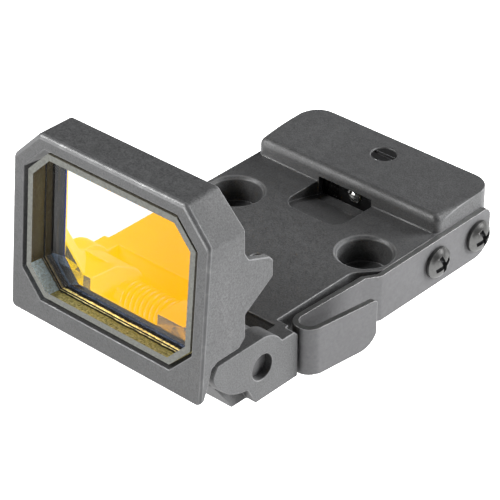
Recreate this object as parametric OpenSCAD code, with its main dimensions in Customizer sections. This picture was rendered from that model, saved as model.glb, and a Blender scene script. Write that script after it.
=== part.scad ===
// Folding open reflex sight (red dot finder): a flat base that screws down with two screws,
// a raised emitter block at the rear, and a framed lens that folds back flat over the base.
// Frame: origin on the underside, midway between the two mounting holes.
// -Y is the lens end, +Y the emitter block, +X the side with the spring latch, +Z up.

/* [Base] */
// Width of the base and emitter block
base_w = 28.2; // [26:0.1:34]
// Height of the base deck above the mounting face
base_h = 6.2; // [5.6:0.1:7.6]
// How far the emitter block stands above the deck
block_step = 2.3; // [1.8:0.1:3]
// Length of the emitter block
block_l = 11.0; // [10:0.1:14]
// From the mounting-hole line back to the emitter block
block_y = 8.3; // [7.6:0.1:10]
// Corner radius at the rear of the block and base
rear_corner_r = 2.8; // [1:0.1:4]

/* [Mounting] */
// Distance between the two mounting holes
hole_spacing = 20.2; // [19.4:0.1:21]
// Mounting hole diameter
hole_d = 3.6; // [3.2:0.1:4]
// Counterbore diameter for the screw heads
cbore_d = 6.5; // [6:0.1:7]
// Counterbore depth below the deck
cbore_depth = 3.4; // [2:0.1:4]

/* [Hinge] */
// From the mounting-hole line forward to the hinge axis
hinge_gap = 23.0; // [21:0.1:27]
// Height of the hinge axis above the mounting face
hinge_z = 4.3; // [4.1:0.1:4.8]
// Radius of the ears about the hinge axis
boss_r = 3.8; // [3.6:0.1:4]
// Length of the nose ahead of the hinge axis
nose_l = 8.0; // [7:0.1:9.6]
// Hinge pin diameter
pin_d = 3.2; // [2.6:0.1:3.4]
// Thickness of each ear
ear_t = 2.6; // [2.4:0.1:2.8]
// Radius of the housing's hinge lugs
lug_r = 3.3; // [3:0.1:3.4]
// Wire diameter of the return spring
torsion_wire = 0.66; // [0.4:0.02:0.7]
// Turns in the return spring
torsion_turns = 9; // [6:1:12]

/* [Lens housing] */
// Height of the housing's top above the mounting face
housing_top = 27.0; // [24:0.1:33]
// Rearward lean of the front face, in degrees
lens_tilt = 5.3; // [3:0.1:7]
// Wall at each side of the lens
side_wall = 1.7; // [1.4:0.1:2.4]
// Wall above the lens
top_wall = 1.5; // [1.2:0.1:2.4]
// Wall below the lens
sill_wall = 2.6; // [2:0.1:3.4]
// Size of the bevelled top corners
corner_cut = 3.8; // [2:0.1:5]
// Corner bevel of the lens opening
lens_cut = 3.1; // [2:0.1:4]
// Thickness of the front glass
front_glass_t = 2.6; // [2:0.1:3]
// Thickness of the rear glass
rear_glass_t = 1.4; // [1:0.1:1.8]
// Gap round the glass
glass_gap = 0.45; // [0.2:0.05:0.6]
// Width of the ledge at each side of the glass
ledge_w = 2.15; // [1:0.05:2.4]
// Height of the ledge at the foot of the glass
ledge_foot = 2.7; // [2:0.1:3]
// Height of the ledge above the glass
ledge_top = 1.35; // [0.8:0.05:1.6]
// Round of the frame's lower corners
foot_round = 0.8; // [0.4:0.1:1.2]

/* [Spring latch] */
// Thickness of the latch sheet
sheet_t = 0.7; // [0.5:0.05:0.9]
// Clear gap between the leg and the thumb tab at the bend
tab_gap = 2.3; // [2:0.1:3]
// Outward flare of the thumb tab, in degrees
tab_flare = 8.0; // [4:0.5:12]
// Length of the thumb tab
tab_l = 8.6; // [6:0.1:9.6]

/* [Battery] */
// Coin cell diameter
cell_d = 12.5; // [11:0.1:12.6]
// Coin cell thickness
cell_t = 2.5; // [1.6:0.1:2.6]
// Battery cap diameter
cap_d = 14.6; // [14.2:0.1:15]
// Battery cap thickness
cap_t = 1.0; // [0.8:0.1:1.1]

/* [Emitter] */
// Width of the emitter chamber
chamber_w = 12.6; // [12:0.1:13]
// Width of the window in the block's front
window_w = 8.2; // [6:0.1:9]
// Adjuster screw head diameter
adjuster_d = 3.0; // [2.8:0.1:3.2]
// Adjuster screw shank diameter
shank_d = 1.6; // [1.4:0.1:1.8]

/* [Fits] */
// Radial clearance of a running shaft
run_gap = 0.05; // [0.02:0.01:0.08]
// Side clearance between parts that slide or swing
slide_gap = 0.3; // [0.2:0.05:0.4]
// Side clearance of a guided slider
guide_gap = 0.1; // [0.08:0.01:0.15]

/* [Hidden] */
$fn = 48;
eps = 0.01;

// Outer faces and stations along the sight
side_x = base_w / 2;
ear_x = side_x + sheet_t;
ear_in = ear_x - ear_t;
hinge_y = -hinge_gap;
rear_y = block_y + block_l;
block_h = base_h + block_step;
ear_back = hinge_y + boss_r + 2.1;
nose_y = hinge_y - nose_l;
bow_in = 1.4;

// Lens housing, measured from the hinge axis
fold_gap = 0.7;
housing_x = ear_x - 0.1;
back_y = -(base_h + fold_gap - hinge_z);
foot_y = -(nose_l + 1.8);
foot_z = -0.2;
top_z = housing_top - hinge_z;
front_slope = tan(lens_tilt);
fin_t = 0.85;
fin_z0 = boss_r + 4.6;
fin_reach = 1.8;
opening_w = 2 * (housing_x - side_wall);
opening_z0 = foot_z + sill_wall;
opening_z1 = top_z - top_wall;
lens_w = opening_w - 2 * glass_gap;
lens_recess = 0.25;
bond_t = 0.12;
stack_t = front_glass_t + bond_t + rear_glass_t;
ledge_d = lens_recess + stack_t + 0.3;
flare_l = 3.3;
sill_y = foot_y + front_slope * sill_wall + lens_recess + stack_t + 0.75;

// Spring latch
leg_y0 = -4.3;
jog_y = -2.5;
bend_r = tab_gap / 2;
bend_y = ear_back + 0.4 + bend_r + sheet_t;
latch_screw_y = [block_y - 0.7, rear_y - 4.0];
latch_screw_z = 3.2;
latch_screw_d = 2.0;
latch_head_d = 4.0;
latch_head_h = 1.3;
groove_x = side_x - 2.35;

// Battery chamber
cell_y = -(cap_d / 2 + 1.5);
cell_z = cap_t + 0.25;
pocket_d = cell_d + 0.4;
pocket_top = cell_z + cell_t + 0.7;

// Emitter chamber
floor_t = 1.0;
gasket_t = 0.25;
chamber_y0 = block_y + 1.3;
chamber_y1 = rear_y - 1.5;
chamber_top = block_h - 1.6;
window_z0 = base_h - 1.85;
screw_y = rear_y - 3.7;
carriage_y0 = screw_y - 2.0;
carriage_z0 = 2.6;
carriage_z1 = 5.3;
windage_y = carriage_y0 - 1.9;
windage_z = 3.9;
lug_t = 1.6;
holder_w = 5.2;
holder_z1 = 6.1;
bay_y0 = -0.4;
bay_top = window_z0 - 1.1;
flange_w = 2.2;
flange_y0 = hole_d / 2 + 1.4;
board_z = 1.5;
board_t = 0.6;
cover_screw_x = chamber_w / 2 + flange_w / 2;
cover_screw_y = [flange_y0 + 1.6, chamber_y1 - 1.6];
contact_screw_x = 2.0;
contact_screw_y = cell_y - 0.5;

// A polygon whose corners [x, y, r] are rounded to radius r, with n steps an arc
function unit(v) = v / norm(v);
function corner(a, b, c, n) = let(
    p = [b[0], b[1]], u = unit([a[0], a[1]] - p), w = unit([c[0], c[1]] - p),
    half = acos(max(-1, min(1, u * w))) / 2, o = p + unit(u + w) * b[2] / sin(half),
    s = p + u * b[2] / tan(half) - o, e = p + w * b[2] / tan(half) - o,
    a0 = atan2(s[1], s[0]), turn = atan2(e[1], e[0]) - a0,
    d = turn > 180 ? turn - 360 : turn < -180 ? turn + 360 : turn)
    [for (i = [0:n]) o + b[2] * [cos(a0 + d * i / n), sin(a0 + d * i / n)]];
function rounded(p, n = 8) = [for (i = [0:len(p) - 1])
    each (p[i][2] > 0 ? corner(p[(i + len(p) - 1) % len(p)], p[i], p[(i + 1) % len(p)], n)
        : [[p[i][0], p[i][1]]])];
function arc(c, r, a0, a1, n = 12) = [for (i = [0:n]) c + r * [cos(a0 + (a1 - a0) * i / n),
    sin(a0 + (a1 - a0) * i / n)]];

// An outline in the Y-Z plane, extruded from x0 to x1
module across(x0, x1) {
    translate([x0, 0, 0]) rotate([90, 0, 90]) linear_extrude(x1 - x0) children();
}

// A cylinder along X from x0 to x1, at y and z
module rod_x(d, x0, x1, y, z) {
    translate([x0, y, z]) rotate([0, 90, 0]) cylinder(d = d, h = x1 - x0);
}

module box(x0, x1, y0, y1, z0, z1) {
    translate([x0, y0, z0]) cube([x1 - x0, y1 - y0, z1 - z0]);
}

// A coil of round wire along +Z, of mean radius r, with straight legs of length leg0 and leg1
// that leave its ends along the wire, swept as one closed polyhedron
module coil(r, wire, pitch, turns, leg0 = 0, leg1 = 0, steps = 12, sides = 6) {
    last = steps * turns;
    stations = [if (leg0 > 0) -1, for (i = [0:last]) i, if (leg1 > 0) last + 1];
    rings = len(stations);
    points = [for (i = stations) for (k = [0:sides - 1]) let(
        j = max(0, min(last, i)), a = 360 * j / steps, b = 360 * k / sides,
        q = r + wire / 2 * cos(b), leg = i < 0 ? -leg0 : i > last ? leg1 : 0)
        [q * cos(a) - leg * sin(a), q * sin(a) + leg * cos(a),
            pitch * j / steps + wire / 2 * sin(b)]];
    walls = [for (i = [0:rings - 2]) for (k = [0:sides - 1]) let(
        a = i * sides + k, b = i * sides + (k + 1) % sides)
        each [[a, b + sides, a + sides], [a, b, b + sides]]];
    polyhedron(points, concat(walls, [[for (k = [0:sides - 1]) sides - 1 - k]],
        [[for (k = [0:sides - 1]) (rings - 1) * sides + k]]));
}

// A thin ring about +Z
module ring(d_in, d_out, h) {
    difference() {
        cylinder(d = d_out, h = h);
        translate([0, 0, -1]) cylinder(d = d_in, h = h + 2);
    }
}

// ---- base ----

// Side outline of an ear, with its round boss and its bowed nose
module ear_outline() {
    bow = arc([hinge_y - 1.7, hinge_z + 4.7], 6.6, 264, 203);
    polygon(concat([[ear_back, 0], [hinge_y - 1.0, 0]], bow,
        [[nose_y + 0.25, hinge_z + boss_r - 1.1], [nose_y + 0.9, hinge_z + boss_r]],
        arc([hinge_y, hinge_z], boss_r, 90, asin((base_h - hinge_z) / boss_r)),
        [[ear_back - 0.6, base_h], [ear_back, base_h - 0.6]]));
}

// Side outline between the ears, where the underside rises straight to the nose
module bow_outline() {
    polygon(concat([[ear_back, 0], [hinge_y - 3.4, 0], [nose_y + 0.1, hinge_z + 2.2],
        [nose_y + 0.25, hinge_z + boss_r - 1.1], [nose_y + 0.9, hinge_z + boss_r]],
        arc([hinge_y, hinge_z], boss_r, 90, asin((base_h - hinge_z) / boss_r)),
        [[ear_back, base_h]]));
}

// Plan of the deck from the ears to the rear, with the groove behind the latch
module deck_plan() {
    polygon(rounded([[-side_x, ear_back - 1, 0], [groove_x, ear_back - 1, 0],
        [groove_x, leg_y0 - 0.1, 2], [side_x, jog_y + 0.8, 1.2],
        [side_x, rear_y, rear_corner_r], [-side_x, rear_y, rear_corner_r]]));
}

module block_plan() {
    polygon(rounded([[-side_x, block_y, 1], [side_x, block_y, 1],
        [side_x, rear_y, rear_corner_r], [-side_x, rear_y, rear_corner_r]]));
}

// The space that the hinge lugs swing through
module lug_slot() {
    across(-ear_in, ear_in) translate([hinge_y, hinge_z]) {
        circle(r = lug_r + slide_gap);
        polygon([[0, 0], [-lug_r - 0.3, -0.9], [-lug_r - 0.9, foot_z - 0.5],
            [-nose_l - 1, foot_z - 0.5], [-nose_l - 1, 9], [-back_y + 2.4, 9],
            [-back_y + 2.4, 1.2], [lug_r + 0.1, -1.5]]);
    }
}

// Ramp in the deck that clears the beam in front of the emitter window
module beam_ramp() {
    reach = 6.6;
    intersection() {
        translate([0, 0, window_z0 - 1]) linear_extrude(5) polygon(rounded([
            [-window_w / 2 - 0.2, block_y, 0], [-window_w / 2 - 0.2, block_y - reach, 2],
            [window_w / 2 + 0.2, block_y - reach, 2], [window_w / 2 + 0.2, block_y, 0]]));
        across(-window_w, window_w) polygon([[block_y + eps, window_z0],
            [block_y + eps, base_h + 1], [block_y - reach - 1, base_h + 1],
            [block_y - reach, base_h - 0.25]]);
    }
}

// Outline of the underside cover, drawn in by g
module cover_plan(g) {
    polygon([[-chamber_w / 2 + g, bay_y0 + g], [chamber_w / 2 - g, bay_y0 + g],
        [chamber_w / 2 - g, flange_y0 + g], [chamber_w / 2 + flange_w - g, flange_y0 + g],
        [chamber_w / 2 + flange_w - g, chamber_y1 - g],
        [-chamber_w / 2 - flange_w + g, chamber_y1 - g],
        [-chamber_w / 2 - flange_w + g, flange_y0 + g], [-chamber_w / 2 + g, flange_y0 + g]]);
}

module mount_holes() {
    for (s = [-1, 1]) translate([s * hole_spacing / 2, 0, 0]) {
        translate([0, 0, -1]) cylinder(d = hole_d, h = base_h + 2);
        translate([0, 0, base_h - cbore_depth]) cylinder(d = cbore_d, h = cbore_depth + 1);
        translate([0, 0, base_h - 0.35]) cylinder(d1 = cbore_d, d2 = cbore_d + 0.8, h = 0.4);
    }
}

module base_body() {
    color("#3a3b3d") difference() {
        union() {
            linear_extrude(base_h) deck_plan();
            linear_extrude(block_h) block_plan();
            for (s = [-1, 1]) across(s > 0 ? ear_x - bow_in : -ear_x, s > 0 ? ear_x : -ear_x + bow_in)
                ear_outline();
            across(-ear_x + bow_in, ear_x - bow_in) bow_outline();
        }
        lug_slot();
        rod_x(pin_d, -ear_x + 0.9, ear_x + 1, hinge_y, hinge_z);
        beam_ramp();
        mount_holes();
        // battery chamber, its cap seat and the passage to the board
        translate([0, cell_y, -1]) cylinder(d = cap_d + 2 * run_gap, h = cap_t + 1);
        translate([0, cell_y, 0]) cylinder(d = pocket_d, h = pocket_top);
        box(-1.8, 1.8, cell_y + 5, bay_y0 + 1, board_z, bay_top);
        // contact screw
        translate([contact_screw_x, contact_screw_y, pocket_top - 1]) cylinder(d = 1.1, h = 5);
        translate([contact_screw_x, contact_screw_y, base_h - 0.9]) cylinder(d = 2.3, h = 2);
        // board bay, emitter chamber and their cover's seat
        box(-chamber_w / 2, chamber_w / 2, bay_y0, chamber_y1, -1, bay_top);
        box(-chamber_w / 2, chamber_w / 2, chamber_y0, chamber_y1, 0, chamber_top);
        translate([0, 0, -1]) linear_extrude(floor_t + gasket_t + 1) cover_plan(0);
        // window
        box(-window_w / 2, window_w / 2, block_y - 1, chamber_y0 + 1, window_z0, chamber_top);
        box(-window_w / 2 - 0.4, window_w / 2 + 0.4, chamber_y0 - 0.6, chamber_y0 + 1,
            window_z0 - 0.4, chamber_top);
        // adjusters
        translate([0, screw_y, chamber_top - 1]) cylinder(d = shank_d + 2 * run_gap, h = 4);
        translate([0, screw_y, chamber_top + 0.6]) cylinder(d = adjuster_d + 0.1, h = 4);
        rod_x(adjuster_d + 1.4, -side_x - 1, -chamber_w / 2 + 1, windage_y, windage_z);
        // latch screws, cover screws
        for (y = latch_screw_y) rod_x(latch_screw_d, side_x - 4.2, side_x + 1, y, latch_screw_z);
        for (y = cover_screw_y, s = [-1, 1])
            translate([s * cover_screw_x, y, 0]) cylinder(d = 1.0, h = floor_t + 2.2);
    }
}

// ---- underside ----

module bottom_cover() {
    color("#303133") difference() {
        linear_extrude(floor_t) cover_plan(guide_gap);
        for (y = cover_screw_y, s = [-1, 1]) translate([s * cover_screw_x, y, 0]) {
            translate([0, 0, -1]) cylinder(d = 1.1, h = 3);
            translate([0, 0, -1]) cylinder(d = 1.9, h = 1.5);
        }
    }
}

module cover_gasket() {
    color("#1c1c1c") translate([0, 0, floor_t]) difference() {
        linear_extrude(gasket_t) difference() {
            cover_plan(guide_gap);
            translate([-chamber_w / 2, bay_y0 - 1]) square([chamber_w, chamber_y1 - bay_y0]);
        }
        for (y = cover_screw_y, s = [-1, 1])
            translate([s * cover_screw_x, y, -1]) cylinder(d = 1.1, h = 3);
    }
}

module cover_screws() {
    color("#c8c8c4") for (y = cover_screw_y, s = [-1, 1])
        translate([s * cover_screw_x, y, 0]) difference() {
            union() {
                cylinder(d = 1.8, h = 0.5);
                cylinder(d = 1.0, h = floor_t + 2);
            }
            translate([-0.12, -1, -1]) cube([0.24, 2, 1.2]);
        }
}

module battery_cap() {
    color("#2c2d2f") translate([0, cell_y, 0]) difference() {
        cylinder(d = cap_d, h = cap_t);
        translate([0, 0, 0.2]) ring(cap_d - 1.24, cap_d + 1, 0.6);
        translate([-4.5, -0.6, -1]) cube([9, 1.2, 1.45]);
    }
}

module cap_oring() {
    color("#161616") translate([0, cell_y, 0.5])
        rotate_extrude() translate([cap_d / 2 - 0.3, 0]) circle(r = 0.28, $fn = 24);
}

module coin_cell() {
    color("#d6d6d2") translate([0, cell_y, cell_z]) {
        cylinder(d = cell_d - 1.6, h = 0.3);
        translate([0, 0, 0.3]) cylinder(d = cell_d, h = cell_t - 0.3);
    }
}

// Spring disc that presses on the cell's upper face
module positive_contact() {
    color("#c9a75a") translate([0, cell_y, pocket_top - 0.25]) difference() {
        union() {
            cylinder(d = 10, h = 0.25);
            translate([0, 0, -0.4]) cylinder(d1 = 2, d2 = 5, h = 0.4);
        }
        translate([contact_screw_x, contact_screw_y - cell_y, -1]) cylinder(d = 1.0, h = 2);
    }
}

module negative_contact() {
    color("#c9a75a") translate([0, cell_y, cap_t]) ring(3, 8, 0.2);
}

module contact_screw() {
    color("#d0d0cc") translate([contact_screw_x, contact_screw_y, 0]) difference() {
        union() {
            translate([0, 0, base_h - 0.9]) cylinder(d = 2.0, h = 0.6);
            translate([0, 0, pocket_top - 0.25])
                cylinder(d = 1.0, h = base_h - 0.65 - (pocket_top - 0.25));
        }
        translate([-1.5, -0.15, base_h - 0.6]) cube([3, 0.3, 1]);
    }
}

module circuit_board() {
    color("#1f5a35") difference() {
        box(-chamber_w / 2 + 0.2, chamber_w / 2 - 0.2, bay_y0 + 0.2, chamber_y0 - 0.3,
            board_z, board_z + board_t);
        for (s = [-1, 1]) translate([s * (chamber_w / 2 - 1.2), bay_y0 + 1.4, 0])
            cylinder(d = 1.0, h = 4);
    }
}

module driver_chip() {
    color("#151515") box(-2, 1, bay_y0 + 2.2, bay_y0 + 5.2, board_z + board_t,
        board_z + board_t + 0.7);
}

// Flat ribbon from the board towards the emitter, turned up at its end
module flex_cable() {
    color("#a8641e") across(-0.9, 0.9) polygon([
        [bay_y0 + 6.4, board_z + board_t], [chamber_y0 + 0.5, board_z + board_t],
        [chamber_y0 + 0.5, board_z + board_t + 0.7], [chamber_y0 + 0.4, board_z + board_t + 0.7],
        [chamber_y0 + 0.4, board_z + board_t + 0.1], [bay_y0 + 6.4, board_z + board_t + 0.1]]);
}

// ---- emitter and its adjusters ----

// A slotted adjuster along +Z, its head from head_z up
module adjuster(z0, head_z, head_h, clip_z) {
    difference() {
        union() {
            translate([0, 0, z0]) cylinder(d = shank_d, h = head_z - z0);
            translate([0, 0, head_z]) cylinder(d = adjuster_d, h = head_h);
        }
        translate([-2, -0.25, head_z + head_h - 0.4]) cube([4, 0.5, 1]);
        translate([0, 0, clip_z]) ring(shank_d - 0.4, shank_d + 1, 0.4);
    }
}

clip_d = 2.8;
elevation_clip_z = chamber_top - 0.55;

module elevation_screw() {
    color("#33343a") translate([0, screw_y, 0])
        adjuster(floor_t + 0.3, chamber_top + 0.65, 0.85, elevation_clip_z);
}

module elevation_clip() {
    color("#8d8d8a") translate([0, screw_y, elevation_clip_z + 0.05])
        ring(shank_d - 0.4, clip_d, 0.3);
}

// Holds the carriage up against its thread to take out the play
module elevation_spring() {
    color("#b9bbb8") translate([0, screw_y, floor_t + 0.35])
        coil(shank_d / 2 + 0.35, 0.2, 0.24, 3);
}

module elevation_carriage() {
    w = chamber_w / 2 - guide_gap;
    color("#6c6d70") difference() {
        union() {
            box(-w, w, carriage_y0, chamber_y1 - 0.25, carriage_z0, carriage_z1);
            for (s = [-1, 1]) box(s > 0 ? w - lug_t : -w, s > 0 ? w : -w + lug_t,
                chamber_y0 + 0.5, carriage_y0 + 1, carriage_z0, carriage_z1);
        }
        translate([0, screw_y, 0]) cylinder(d = shank_d + 2 * run_gap, h = 8);
        rod_x(shank_d + 2 * run_gap, -w - 1, w + 1, windage_y, windage_z);
    }
}

windage_clip_x = -chamber_w / 2 + guide_gap + lug_t + 0.15;

// Screwed through the holder, and carried by the carriage, so it rises and falls with it
module windage_screw() {
    shoulder_x = -chamber_w / 2 + guide_gap - 0.1;
    color("#33343a") difference() {
        union() {
            rod_x(shank_d, shoulder_x - 1, chamber_w / 2 - 0.4, windage_y, windage_z);
            rod_x(2.4, -side_x + 1.4, shoulder_x, windage_y, windage_z);
            rod_x(adjuster_d, -side_x + 0.3, -side_x + 1.5, windage_y, windage_z);
        }
        box(-side_x, -side_x + 0.8, windage_y - 0.25, windage_y + 0.25, windage_z - 2,
            windage_z + 2);
        translate([windage_clip_x, windage_y, windage_z]) rotate([0, 90, 0])
            ring(shank_d - 0.4, shank_d + 1, 0.4);
    }
}

module windage_clip() {
    color("#8d8d8a") translate([windage_clip_x + 0.05, windage_y, windage_z])
        rotate([0, 90, 0]) ring(shank_d - 0.4, 2.4, 0.3);
}

module windage_spring() {
    color("#b9bbb8") translate([holder_w / 2 + 0.75, windage_y, windage_z])
        rotate([0, 90, 0]) coil(shank_d / 2 + 0.3, 0.2, 0.3, 3);
}

module emitter_holder() {
    color("#4a4b4e") difference() {
        box(-holder_w / 2, holder_w / 2, chamber_y0 + 0.75, carriage_y0 - guide_gap,
            windage_z - 0.5 - shank_d / 2, holder_z1);
        rod_x(shank_d + 2 * run_gap, -holder_w, holder_w, windage_y, windage_z);
        box(-0.9, 0.9, 0, chamber_y0 + 0.95, holder_z1 - 1.6, holder_z1 - 0.6);
    }
}

module led_emitter() {
    color("#e8d9b0") {
        box(-0.8, 0.8, chamber_y0 + 0.55, chamber_y0 + 0.95, holder_z1 - 1.5, holder_z1 - 0.7);
        translate([0, chamber_y0 + 0.55, holder_z1 - 1.1]) rotate([90, 0, 0])
            cylinder(d = 0.5, h = 0.15);
    }
}

module emitter_window() {
    color([0.6, 0.65, 0.7, 0.4]) box(-window_w / 2 - 0.3, window_w / 2 + 0.3,
        chamber_y0 - 0.55, chamber_y0 - 0.05, window_z0 - 0.3, chamber_top - 0.05);
}

// ---- hinge ----

spring_r = pin_d / 2 + 0.2 + torsion_wire / 2;
spring_pitch = torsion_wire + 0.1;
spring_x0 = -5.4;
lug_in = [spring_x0 - 1.0, spring_x0 + spring_pitch * (torsion_turns + 2) + 0.8];

module hinge_pin() {
    color("#2b2b2c") rod_x(pin_d, -ear_x + 0.9, ear_x - 1.0, hinge_y, hinge_z);
}

// The coil and the leg that bears on the base
module torsion_spring() {
    color("#c6c8c6") translate([spring_x0, hinge_y, hinge_z]) rotate([0, 90, 0])
        coil(spring_r, torsion_wire, spring_pitch, torsion_turns, leg1 = lug_r - 0.8);
}

// The last turn and the leg that lifts the lens housing
module spring_arm() {
    color("#c6c8c6") translate([spring_x0 + spring_pitch * (torsion_turns + 1) + 0.2, hinge_y,
        hinge_z]) rotate([0, 90, 0]) rotate([0, 0, 160])
        coil(spring_r, torsion_wire, spring_pitch, 1, leg1 = 4.6);
}

// Curved contact that the hinge lug wipes when the housing opens
module fold_switch() {
    color("#c9a75a") across(-10, -8.4) translate([hinge_y, hinge_z]) polygon(concat(
        arc([0, 0], lug_r + slide_gap - 0.02, 245, 295),
        arc([0, 0], lug_r + slide_gap - 0.15, 295, 245)));
}

// ---- lens housing ----

// Everything in here is placed from the hinge axis
module at_hinge() {
    translate([0, hinge_y, hinge_z]) children();
}

// Front face at height z from the hinge axis
function front_y(z) = foot_y + front_slope * (z - foot_z);

module housing_outline() {
    polygon([[foot_y, foot_z], [foot_y + 0.5, foot_z + 0.1], [-nose_l - 0.5, 1.85],
        [-nose_l + 0.1, boss_r + 0.05], [-nose_l + 1.0, boss_r + 0.5],
        [back_y - 1, boss_r + 0.55], [back_y, boss_r + 1.5], [back_y, top_z],
        [front_y(top_z), top_z]]);
}

// Between the ears the frame reaches lower, round the foot of the glass
module sill_outline() {
    polygon([[foot_y, foot_z], [foot_y + 0.5, foot_z + 0.1], [sill_y - 0.8, foot_z + 1.2],
        [sill_y, foot_z + 1.8], [sill_y, boss_r - 0.4], [back_y - 1, boss_r + 0.75],
        [back_y - 1, boss_r + 2], [front_y(boss_r + 2), boss_r + 2]]);
}

// Front view of the frame, with its top corners cut and its lower corners rounded
module housing_front() {
    polygon(rounded([[-housing_x, foot_z, foot_round], [-housing_x, top_z - corner_cut, 0.8],
        [-housing_x + corner_cut, top_z, 0.8], [housing_x - corner_cut, top_z, 0.8],
        [housing_x, top_z - corner_cut, 0.8], [housing_x, foot_z, foot_round]], 6));
}

// A bevelled rectangle in the lens plane, w wide, from z0 to z1
module lens_shape(w, z0, z1, cut) {
    polygon([[-w / 2, z0 + cut], [-w / 2, z1 - cut], [-w / 2 + cut, z1], [w / 2 - cut, z1],
        [w / 2, z1 - cut], [w / 2, z0 + cut], [w / 2 - cut, z0], [-w / 2 + cut, z0]]);
}

// Extrudes an outline of the lens plane rearwards, from depth d0 to d1 behind the front face
module lens_layer(d0, d1) {
    translate([0, foot_y, foot_z]) rotate([-lens_tilt, 0, 0]) translate([0, d1, 0])
        rotate([90, 0, 0]) linear_extrude(d1 - d0) translate([0, -foot_z]) children();
}

module fin_outline() {
    z1 = housing_top - hinge_z - 6.7;
    polygon([[back_y - 1, fin_z0 - 1], [back_y, fin_z0 - 0.2], [fin_reach, fin_z0 + 2.6],
        [fin_reach, fin_z0 + 4.7], [fin_reach - 0.5, fin_z0 + 5.3], [back_y + 0.6, z1 - 1.1],
        [back_y, z1], [back_y - 1, z1]]);
}

// Tangent point from p to a circle of radius r about the origin, on side s
function tangent(p, r, s) = let(a = atan2(p[1], p[0]) + s * acos(r / norm(p)))
    r * [cos(a), sin(a)];

module lug(x0, x1) {
    front = [back_y - 3.9, boss_r + 0.9];
    rear = [back_y, boss_r + 1.5];
    across(x0, x1) {
        circle(r = lug_r);
        polygon([front, tangent(front, lug_r, 1), [0, 0], tangent(rear, lug_r, -1), rear,
            [back_y, boss_r + 2], [back_y - 3.9, boss_r + 2]]);
    }
}

module lens_housing() {
    color("#4a4b4e") at_hinge() difference() {
        union() {
            intersection() {
                across(-housing_x, housing_x) housing_outline();
                translate([0, 5, 0]) rotate([90, 0, 0]) linear_extrude(30) housing_front();
            }
            across(-ear_in + slide_gap, ear_in - slide_gap) sill_outline();
            lug(-ear_in + slide_gap, lug_in[0]);
            lug(lug_in[1], ear_in - slide_gap);
            across(housing_x - fin_t, housing_x) fin_outline();
        }
        rod_x(pin_d + 2 * run_gap, -ear_in, ear_in, 0, 0);
        lens_layer(-1, lens_recess + stack_t)
            lens_shape(opening_w, opening_z0, opening_z1, lens_cut);
        lens_layer(0, 20) ledge_shape(0);
        hull() {
            lens_layer(ledge_d, ledge_d + eps) ledge_shape(0);
            lens_layer(ledge_d + flare_l, ledge_d + flare_l + eps) ledge_shape(0.95 * flare_l);
        }
        across(lug_in[0], lug_in[1]) polygon([[sill_y - 1, boss_r - 0.35],
            [sill_y - 1, boss_r + 2.4], [1, boss_r + 2.4], [1, -1], [-0.2, -1]]);
    }
}

// The clear opening behind the glass, widened by g at each side
module ledge_shape(g) {
    lens_shape(opening_w - 2 * ledge_w + 2 * g, opening_z0 + ledge_foot,
        opening_z1 - ledge_top, lens_cut);
}

module glass(d0, d1) {
    at_hinge() lens_layer(lens_recess + d0, lens_recess + d1)
        lens_shape(lens_w, opening_z0 + glass_gap, opening_z1 - glass_gap, lens_cut - 0.2);
}

module front_lens() {
    color([0.75, 0.78, 0.72, 0.5]) glass(0, front_glass_t);
}

module rear_lens() {
    color([1.0, 0.78, 0.05, 0.5]) glass(front_glass_t + bond_t, stack_t);
}

// Black cement line round the edge between the two glasses
module lens_bond() {
    color("#101010") difference() {
        glass(front_glass_t, front_glass_t + bond_t);
        at_hinge() lens_layer(0, 10) lens_shape(lens_w - 1.6, opening_z0 + glass_gap + 0.8,
            opening_z1 - glass_gap - 0.8, lens_cut - 0.2);
    }
}

// ---- spring latch ----

// The flat of the sheet that is screwed to the base's side
module latch_plate() {
    color("#a9abad") difference() {
        intersection() {
            box(side_x, side_x + sheet_t, jog_y + 0.06, rear_y - 1.5, 0, base_h);
            across(side_x - 1, side_x + 2) polygon(rounded([[jog_y, 0, 0],
                [rear_y - 1.5, 0, 2.6], [rear_y - 1.5, base_h, 1.2], [jog_y, base_h, 0]]));
        }
        for (y = latch_screw_y)
            rod_x(latch_screw_d + 0.2, side_x - 1, side_x + 2, y, latch_screw_z);
    }
}

// The jog, the leg in its groove, the bend and the thumb tab
module latch_arm() {
    root = side_x - 1.05;
    foot = side_x - 1.5;
    bend = [foot + sheet_t + bend_r, bend_y];
    slot_end = bend_y + 4.0;
    color("#a9abad") difference() {
        union() {
            linear_extrude(base_h) {
                polygon([[side_x, jog_y - 0.06], [side_x + sheet_t, jog_y - 0.06],
                    [root + sheet_t, leg_y0], [foot + sheet_t, bend_y], [foot, bend_y],
                    [root, leg_y0]]);
                polygon(concat(arc(bend, bend_r + sheet_t, 180, 360 - tab_flare),
                    arc(bend, bend_r, 360 - tab_flare, 180)));
            }
            intersection() {
                linear_extrude(base_h) translate(bend) rotate(-tab_flare)
                    translate([bend_r, 0]) square([sheet_t, tab_l]);
                across(side_x, side_x + 9) polygon(rounded([[bend_y - 1, 0, 0],
                    [bend_y + tab_l * cos(tab_flare), 0, 2.8],
                    [bend_y + tab_l * cos(tab_flare), base_h, 0.9], [bend_y - 1, base_h, 0]]));
            }
        }
        across(foot - 1, foot + bend_r) polygon(rounded([[bend_y - 0.5, -1, 0],
            [slot_end, -1, 0], [slot_end, base_h / 2, 1.2], [bend_y - 0.5, base_h / 2, 0]]));
    }
}

// Domed head with a cross recess, along +X from x
module pan_head(x, y, z) {
    r = latch_head_d / 2;
    crown = 2.6;
    translate([x, y, z]) rotate([0, 90, 0]) difference() {
        rotate_extrude() polygon(concat([[0, 0], [r, 0], [r, 0.45]],
            arc([0, latch_head_h - crown], crown, 40, 90, 6)));
        for (a = [0, 90]) rotate(a + 20) translate([-1.25, -0.28, latch_head_h - 0.7])
            cube([2.5, 0.56, 1]);
    }
}

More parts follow.
